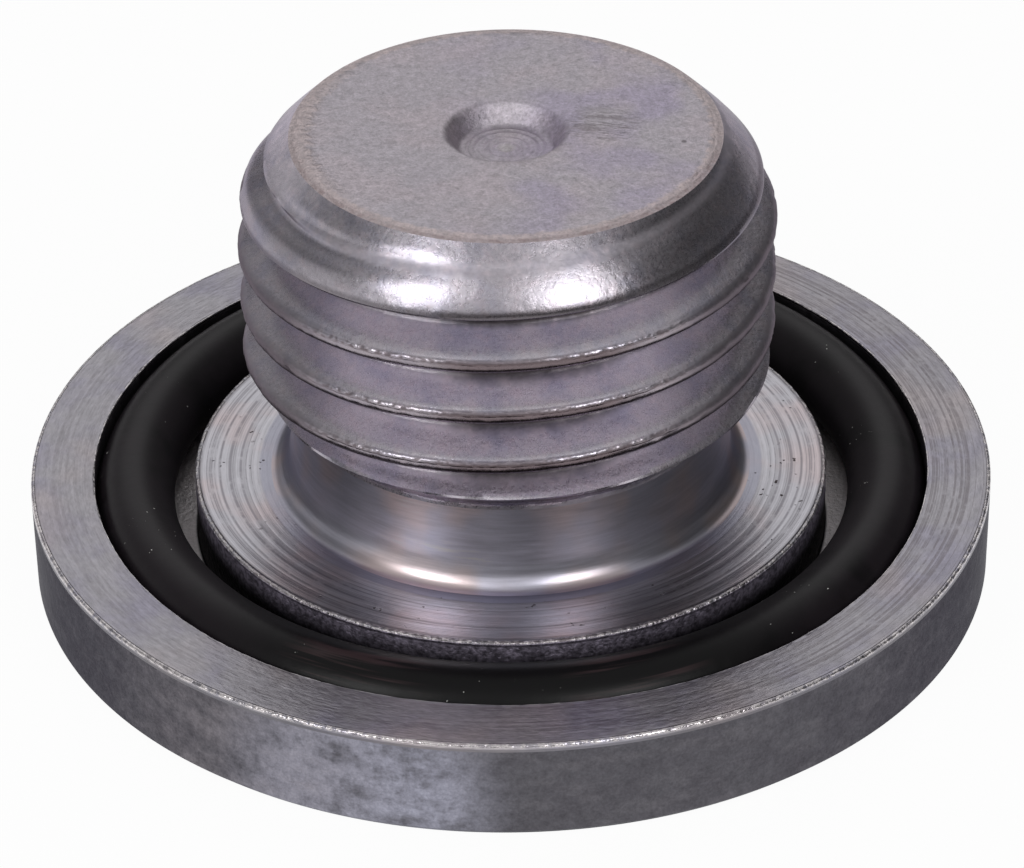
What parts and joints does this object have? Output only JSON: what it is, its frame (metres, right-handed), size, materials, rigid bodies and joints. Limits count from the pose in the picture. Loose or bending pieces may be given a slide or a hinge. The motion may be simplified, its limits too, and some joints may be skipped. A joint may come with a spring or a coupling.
{
  "type": "oil drain plug",
  "caption": "Steel oil drain plug with a flat round head, a rubber sealing ring in a face groove and a short right-hand metric thread.",
  "frame": {"origin": "centre of the head's underside, on the plug's axis", "axes": "+Z along the plug's axis from the head towards the end of the thread; -Y is the side that faces the picture's camera"},
  "size_m": [0.0258, 0.0258, 0.0129],
  "materials": {
    "plug_steel": "turned and lightly oiled, grey with faint blue and brown tints",
    "ring_rubber": "satin black rubber"
  },
  "bodies": {
    "root": {"plug": "plug_steel", "sealing_ring": "ring_rubber"}
  },
  "joints": []
}
